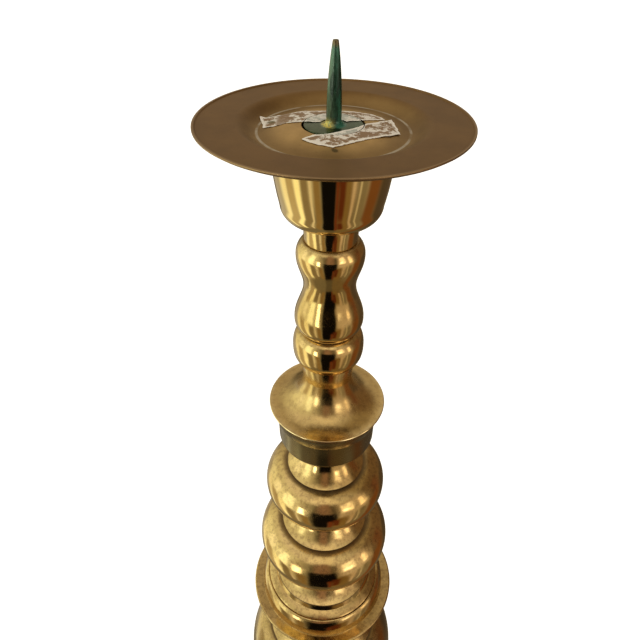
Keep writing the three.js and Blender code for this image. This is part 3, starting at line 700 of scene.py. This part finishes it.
def strip(name, outline, lift, over):
    """A torn sheet with its creases, laid on the pan and the flange. Past a line it rises over another."""
    bpy.ops.object.select_all(action="DESELECT")
    edge = torn(outline)
    flat = bpy.data.curves.new(name, "CURVE")
    flat.dimensions, flat.fill_mode = "2D", "FRONT"
    line = flat.splines.new("POLY")
    line.points.add(len(edge) - 1)
    for spot, point in zip(edge, line.points):
        point.co = (*(spot * MM), 0, 1)
    line.use_cyclic_u = True
    sheet = bpy.data.objects.new(name, flat)
    bpy.context.scene.collection.objects.link(sheet)
    bpy.context.view_layer.objects.active = sheet
    sheet.select_set(True)
    bpy.ops.object.convert(target="MESH")
    sheet = bpy.context.object
    bpy.ops.object.mode_set(mode="EDIT")
    for axis in ((1, 0, 0), (0, 1, 0)):
        for i in range(-round(tape_reach / weave), round(tape_reach / weave)):
            bpy.ops.mesh.select_all(action="SELECT")
            bpy.ops.mesh.bisect(plane_co=Vector(axis) * i * weave * MM, plane_no=axis)
    bpy.ops.mesh.select_all(action="SELECT")
    bpy.ops.mesh.remove_doubles(threshold=0.02 * MM)
    bpy.ops.mesh.quads_convert_to_tris()
    bpy.ops.object.mode_set(mode="OBJECT")
    for point in sheet.data.vertices:
        x, y = point.co.x / MM, point.co.y / MM
        broad, narrow = noise.noise(Vector((x, y, 5)) * 0.16), noise.noise(Vector((x, y, 8)) * 0.5)
        crease = abs(broad) * 0.5 + abs(narrow) * 0.2
        step = min(1, max(0, (x - over) / overlap_run)) * overlap_rise
        curl = max(0, math.hypot(x, y) - curl_radius) * curl_slope
        point.co.z = (rest_height(math.hypot(x, y)) + lift + crease + step + curl) * MM
    gap = sheet.data.attributes.new("gap", "FLOAT", "POINT")
    for point, value in zip(sheet.data.vertices, gap.data):
        spot = Vector((point.co.x, point.co.y)) / MM
        value.value = min((spot - mark).length for mark in edge)
    thick = sheet.modifiers.new("paper", "SOLIDIFY")
    thick.thickness, thick.offset = tape_thickness * MM, 1
    bpy.ops.object.modifier_apply(modifier="paper")
    bpy.ops.object.mode_set(mode="EDIT")
    bpy.ops.mesh.select_all(action="SELECT")
    bpy.ops.mesh.normals_make_consistent(inside=False)
    bpy.ops.object.mode_set(mode="OBJECT")
    bpy.ops.object.shade_smooth_by_angle(angle=math.radians(50))
    return sheet


def drill(piece, tool, operation="DIFFERENCE"):
    """Cuts a piece with another, which is then thrown away."""
    bpy.ops.object.select_all(action="DESELECT")
    bpy.context.view_layer.objects.active = piece
    piece.select_set(True)
    cut = piece.modifiers.new("cut", "BOOLEAN")
    cut.operation, cut.object, cut.solver = operation, tool, "EXACT"
    bpy.ops.object.modifier_apply(modifier="cut")
    bpy.data.objects.remove(tool)


def paper(name, stain, film):
    """Torn paper: white fibres along its edges and in patches, brown stain between, or a thin wet film."""
    tape = Finish(name)
    patch = tape.noise(140, 5, 0.7)
    fibre = tape.noise(900, 4, 0.7)
    white = 1 - (tape.mark("gap") + patch * 5).above(4.2, 0.6)
    white = white + patch.above(0.52, 0.035) * 0.9
    across = tape.axis("X") + patch * 6 * MM
    soaked = across.above(-38.5 * MM, 1.5 * MM) * (1 - across.above(-30 * MM, 1.5 * MM))
    smudge = 1 - (tape.away_from(tape_smudge) + patch * 5 * MM).above(6 * MM, 1.5 * MM)
    colour = tape.mix(fibre, stain, (stain[0] * 0.6, stain[1] * 0.55, stain[2] * 0.5))
    colour = tape.mix(film, colour, tape.mix(fibre, (0.50, 0.55, 0.54), (0.70, 0.72, 0.70)))
    white = tape.node("ShaderNodeClamp", None, {"Value": white * (1 - soaked * 0.85)})
    colour = tape.mix(white, colour, tape.mix(fibre, (0.86, 0.82, 0.79), (1.0, 0.99, 0.98)))
    colour = tape.mix(smudge * 0.8, colour, (0.13, 0.11, 0.045))
    crinkle = tape.bump(patch, 0.5 * MM, 0.6)
    nap = tape.bump(fibre, 0.15 * MM, 0.6, crinkle)
    return tape.paint(base_color=colour, roughness=0.55 + fibre * 0.3, normal=nap)


def cutter(name, inner, outer):
    """A round cutter through the tape, between two radii."""
    low, high = pan_plane - cutter_reach, pan_plane + cutter_reach
    return turned(name, [(inner, low), (outer, low), (outer, high), (inner, high)], 0, 0, 96)


tape_smudge = Vector((-46, 10, pan_plane - 6)) * MM
stained_paper = paper("stained_paper", (0.36, 0.24, 0.15), 0.0)
wet_paper = paper("waxed_paper", (0.20, 0.17, 0.11), 0.85)
for side, outline, lift, over in (("back", tape_back, back_lift, nowhere),
                                  ("front", tape_front, front_lift, overlap_from)):
    whole = strip(f"tape_{side}_on_pan", outline, lift, over)
    bpy.ops.object.duplicate()
    part = bpy.context.object
    part.name = part.data.name = f"tape_{side}_on_flange"
    drill(whole, cutter("hole_cutter", 0, split_outside))
    finished(whole, stained_paper, "pan", "tape", f"tape_{side}_pan")
    drill(part, cutter("flange_cutter", spike_room, split_inside), "INTERSECT")
    finished(part, wet_paper, "pricket", "tape", f"tape_{side}_flange")

# Washer, tie rod and clamp. Plain steel: a washer under the pricket, and one long rod with a screw thread at
# both ends that pulls the whole stem down on a flat bar under the foot, with a washer and a six-sided nut.
thread_pitch, thread_depth, thread_root, thread_start, rod_bevel = 1.5, 0.45, 40, 1, 0.8
washer_bore, bar_bevel, drill_past, nut_bore, nut_room, nut_slope = 4.3, 0.8, 5, 5.3, 0.3, 0.6


def plain_steel():
    metal = Finish("plain_steel")
    grain = metal.noise(500, 4, 0.6)
    rust = metal.noise(45, 5, 0.6).above(0.58, 0.08)
    colour = metal.mix(grain, (0.30, 0.30, 0.30), (0.46, 0.46, 0.45))
    colour = metal.mix(rust * 0.6, colour, (0.16, 0.07, 0.03))
    return metal.paint(base_color=colour, roughness=rust * 0.3 + grain * 0.15 + 0.28,
                       metallic=1 - rust * 0.6, normal=metal.bump(grain, 0.05 * MM, 0.4))


def flat_washer(name, node, bore, body):
    low, high, radius = extent(node)
    ring = turned(name, [(bore, 0), (radius, 0), (radius, high - low), (bore, high - low)], low, 0.3, 64)
    finished(ring, steel, body, "steel", node)


steel = plain_steel()
flat_washer("washer_under_pricket", "pricket_washer", washer_bore, "washer")
flat_washer("washer_over_nut", "nut_washer", rod_bore, "stem")

rod_low, rod_high, rod_radius = extent("tie_rod")
rod_length = rod_high - rod_low
rings = [(radius, z + half)
         for start in (thread_start, rod_length - thread_root - thread_start)
         for z in (start + thread_pitch * i for i in range(round(thread_root / thread_pitch)))
         for radius, half in ((rod_radius, 0), (rod_radius - thread_depth, thread_pitch / 2))]
rod = turned("threaded_tie_rod", [(0, 0), (rod_radius - rod_bevel, 0), *rings,
                                  (rod_radius - rod_bevel, rod_length), (0, rod_length)], rod_low, 0, 32)
finished(rod, steel, "stem", "steel", "tie_rod")

low, high = (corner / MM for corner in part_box("clamp_bar"))
bpy.ops.object.select_all(action="DESELECT")
bpy.ops.mesh.primitive_cube_add(size=MM, location=(0, 0, 0))
bar = bpy.context.object
bar.name = bar.data.name = "flat_clamp_bar"
bpy.ops.object.mode_set(mode="EDIT")
bpy.ops.mesh.select_all(action="SELECT")
bpy.ops.transform.resize(value=high - low)
bpy.ops.transform.translate(value=(high + low) / 2 * MM)
bpy.ops.mesh.bevel(offset=bar_bevel * MM, segments=2)
bpy.ops.object.mode_set(mode="OBJECT")
drill_foot, drill_top = low.z - drill_past, high.z + drill_past
drill(bar, turned("bar_drill", [(0, drill_foot), (rod_bore, drill_foot), (rod_bore, drill_top),
                                (0, drill_top)]))
bpy.ops.object.shade_smooth_by_angle(angle=math.radians(40))
finished(bar, steel, "stem", "steel", "clamp_bar")

low, high, nut_corner = extent("rod_nut")
flat = nut_corner * math.cos(math.pi / 6)
bpy.ops.object.select_all(action="DESELECT")
bpy.ops.mesh.primitive_cylinder_add(vertices=6, radius=nut_corner * MM, depth=(high - low) * MM,
                                    location=(0, 0, 0))
nut = bpy.context.object
nut.name = nut.data.name = "hexagon_nut"
bpy.ops.object.mode_set(mode="EDIT")
bpy.ops.mesh.select_all(action="SELECT")
bpy.ops.transform.rotate(value=math.pi / 6, orient_axis="Z", center_override=(0, 0, 0))
bpy.ops.transform.translate(value=(0, 0, (high + low) / 2 * MM))
bpy.ops.object.mode_set(mode="OBJECT")
face, corner, slope = flat - nut_room, nut_corner + nut_room, (nut_corner - flat) * nut_slope
drill(nut, turned("nut_turning", [(nut_bore, low - 1), (face, low - 1), (face, low), (corner, low + slope),
                                  (corner, high - slope), (face, high), (face, high + 1),
                                  (nut_bore, high + 1)], 0, 0), "INTERSECT")
bpy.ops.object.shade_smooth_by_angle(angle=math.radians(30))
finished(nut, steel, "stem", "steel", "rod_nut")

# Floor and light. A pale floor, and a plain studio of soft light: a pale side with bright panes at the left,
# a darker side with lamps at the right, a pale top, and a black card in front of the stick.
class Room(Finish):
    """The world as seen by reflections, on azimuth (0 in front, 90 at the right) and elevation in degrees."""

    def __init__(self, world):
        world.use_nodes = True
        self.tree = world.node_tree
        self.tree.nodes.clear()
        self.place = self.node("ShaderNodeTexCoord", output="Generated")
        self.azimuth = self.axis("X").maths("ARCTAN2", self.axis("Y") * -1) * math.degrees(1)
        self.elevation = self.axis("Z").maths("ARCSINE") * math.degrees(1)

    def patch(self, light, across, up, soft, colour):
        """Puts a soft-edged patch of light or shade over what is there."""
        mask = self.azimuth.above(across[0], soft) * (1 - self.azimuth.above(across[1], soft))
        mask = mask * self.elevation.above(up[0], soft) * (1 - self.elevation.above(up[1], soft))
        return self.mix(mask, light, colour)


sky = bpy.context.scene.world or bpy.data.worlds.new("room")
bpy.context.scene.world = sky
room = Room(sky)
light = room.mix(room.elevation.above(-80, 6), (0.050, 0.042, 0.022), (0.13, 0.105, 0.065))
for across, up, soft, colour in (
        ((-150, -26), (-48, 60), 14, (0.62, 0.57, 0.42)),      # pale side at the left
        ((-128, -50), (-38, 48), 12, (1.12, 1.12, 0.84)),
        ((24, 82), (-44, 60), 10, (0.40, 0.31, 0.22)),         # side at the right
        ((26, 76), (-26, 50), 8, (0.66, 0.54, 0.42)),
        ((82, 150), (-50, 60), 12, (0.19, 0.120, 0.065)),      # brown side, behind at the right
        ((90, 108), (-38, 18), 7, (0.18, 0.080, 0.040)),
        ((-160, -24), (-86, -50), 8, (0.22, 0.185, 0.120)),    # low left
        ((-150, -124), (-54, -14), 6, (0.55, 0.51, 0.42)),
        ((-103, -82), (-58, -16), 5, (0.62, 0.52, 0.32)),
        ((-66, -48), (-58, -16), 5, (0.30, 0.24, 0.145)),
        ((-38, -24), (-58, -16), 4, (0.30, 0.205, 0.088)),
        ((-117, -104), (-56, -14), 4, (1.25, 1.20, 0.85)),     # bright streaks at the left
        ((-80, -68), (-56, -14), 4, (1.45, 1.40, 0.96)),
        ((-47, -42), (-52, -14), 2, (0.85, 0.76, 0.58)),
        ((16, 82), (-86, -50), 7, (0.20, 0.140, 0.066)),       # low right
        ((14, 40), (-58, -16), 6, (0.235, 0.150, 0.055)),
        ((50, 74), (-58, -16), 6, (0.25, 0.205, 0.135)),
        ((78, 104), (-86, -16), 6, (0.20, 0.080, 0.026)),
        ((110, 150), (-54, -16), 8, (0.09, 0.065, 0.042)),
        ((41, 47), (-52, -14), 3, (0.60, 0.46, 0.33)),         # bright streaks at the right
        ((56, 60), (-52, -14), 2, (0.60, 0.52, 0.38)),
        ((-128, -50), (20, 48), 10, (0.85, 0.82, 0.62)),       # upper part of the pale side
        ((-72, -54), (-14, 30), 4, (1.8, 1.9, 1.55)),          # bright panes and lamps
        ((-43, -32), (-13, 10), 2, (4.2, 4.0, 3.4)),
        ((-98, -84), (-12, 24), 4, (1.4, 1.4, 1.15)),
        ((30, 49), (2, 34), 4, (1.9, 1.7, 1.4)),
        ((33, 41), (6, 15), 3, (4.0, 3.6, 3.1)),
        ((62, 72), (-6, 26), 3, (2.0, 1.65, 1.25))):
    light = room.patch(light, across, up, soft, colour)
bright_side = room.azimuth.above(-130, 30) * (1 - room.azimuth.above(62, 40))
ceiling = room.mix(bright_side, (0.34, 0.26, 0.15), (0.90, 0.83, 0.69))
light = room.mix(room.elevation.above(44, 10), light, ceiling)
light = room.mix(room.elevation.above(76, 12), light, (0.60, 0.51, 0.36))
for across, up, soft, colour in (
        ((-34, 34), (46, 76), 10, (1.10, 0.99, 0.80)),         # bright ceiling in front
        ((148, 215), (8, 80), 10, (0.60, 0.52, 0.40)),         # back wall, on both sides of 180 degrees
        ((-215, -148), (8, 80), 10, (0.60, 0.52, 0.40)),
        ((-12, 11), (-10, 48), 7, (0.34, 0.21, 0.15)),         # brown cloth over the black card
        ((-21, 21), (-34, 7), 4, (0.006, 0.005, 0.004)),       # black card
        ((-21, 8), (-60, -30), 3, (0.006, 0.005, 0.004)),
        ((8, 14), (-60, -30), 3, (0.17, 0.040, 0.012)),
        ((14, 27), (-52, -24), 4, (0.12, 0.030, 0.010))):
    light = room.patch(light, across, up, soft, colour)
seen = room.node("ShaderNodeLightPath", output="Is Camera Ray")
light = room.mix(seen, light, (1.0, 1.0, 1.0))
back = room.node("ShaderNodeBackground", None, {"Color": light})
room.feed(room.tree.nodes.new("ShaderNodeOutputWorld").inputs["Surface"], back)

floor_finish = Finish("pale_floor", roughness=0.8, base_color=(0.8, 0.8, 0.8, 1),
                      emission_color=(1, 1, 1, 1), emission_strength=0.8)
bpy.ops.object.select_all(action="DESELECT")
bpy.ops.mesh.primitive_plane_add(size=60, location=(0, 0, 0))
floor = bpy.context.object
floor.name = "pale_floor"
floor.data.materials.append(floor_finish.material)
floor.visible_glossy = floor.visible_diffuse = False
